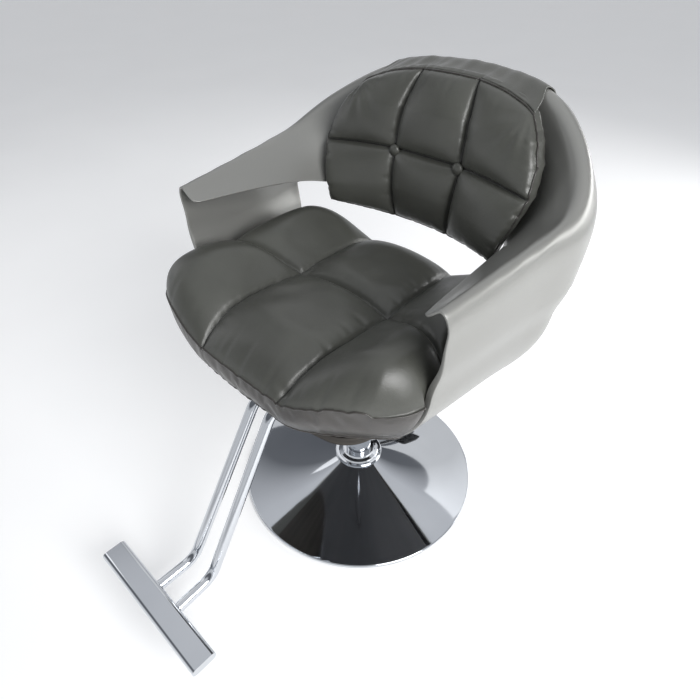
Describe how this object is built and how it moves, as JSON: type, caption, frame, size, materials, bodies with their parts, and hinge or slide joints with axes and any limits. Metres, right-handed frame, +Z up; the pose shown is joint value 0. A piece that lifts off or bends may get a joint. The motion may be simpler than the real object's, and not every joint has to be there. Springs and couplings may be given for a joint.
{
  "type": "styling chair",
  "caption": "Hydraulic salon styling chair: round chrome base and column, swivelling bucket shell with rolled arms, quilted seat and buttoned back cushions, and a T-bar footrest.",
  "frame": {"origin": "on the floor, on the axis that the seat swivels about", "axes": "+Z up along the column, the sitter faces -Y, +X is the sitter's left"},
  "size_m": [0.703, 0.9508, 0.9247],
  "materials": {
    "chrome": "polished chrome plate",
    "bright_steel": "ground steel",
    "black_steel": "black powder coat",
    "iron": "raw, hidden",
    "rubber": "matt",
    "plywood": "stained black, matt",
    "shell": "satin pearl-grey metallic lacquer",
    "upholstery": "satin artificial leather, dark olive grey"
  },
  "bodies": {
    "base": {"floor_pad": "rubber", "base_ballast": "iron", "base_cover": "chrome", "base_collar": "chrome", "pump_flange": "black_steel", "pump_flange_bolts": "bright_steel", "pump_housing": "chrome", "pump_barrel": "bright_steel", "pump_gland": "chrome", "gland_wiper_seal": "rubber", "pedal_bracket": "black_steel", "pedal_pivot_pin": "bright_steel", "pedal_spring": "bright_steel"},
    "ram": {"lift_ram": "bright_steel", "ram_piston": "bright_steel", "swivel_thrust_race": "bright_steel"},
    "pedal": {"pedal_lever": "black_steel", "pedal_tread": "rubber"},
    "seat": {"swivel_hub": "black_steel", "mounting_plate": "black_steel", "seat_frame_plate": "black_steel", "mounting_bolts": "bright_steel", "mounting_nuts": "bright_steel", "seat_frame_rails": "black_steel", "seat_board": "plywood", "footrest_tube_left": "chrome", "footrest_tube_right": "chrome", "footrest_saddles": "black_steel", "footrest_clamps": "black_steel", "clamp_studs": "bright_steel", "footrest_bar": "chrome", "footrest_end_caps": "chrome", "seat_cradle": "shell", "shell_band": "shell", "flap_snaps": "bright_steel", "back_flap": "upholstery", "seat_cushion": "upholstery", "back_cushion": "upholstery", "back_buttons": "upholstery"}
  },
  "joints": [
    {"name": "lift", "type": "slide", "parent": "base", "child": "ram", "axis": [0, 0, 1], "range_m": [0, 0.14]},
    {"name": "swivel", "type": "hinge", "parent": "ram", "child": "seat", "pos_m": [0, 0, 0.38], "axis": [0, 0, 1], "continuous": true},
    {"name": "pedal_pivot", "type": "hinge", "parent": "base", "child": "pedal", "pos_m": [0, 0.056, 0.115], "axis": [-1, 0, 0], "range_deg": [0, 14], "stiffness_Nm_per_rad": 8, "springref_deg": -20.05}
  ]
}
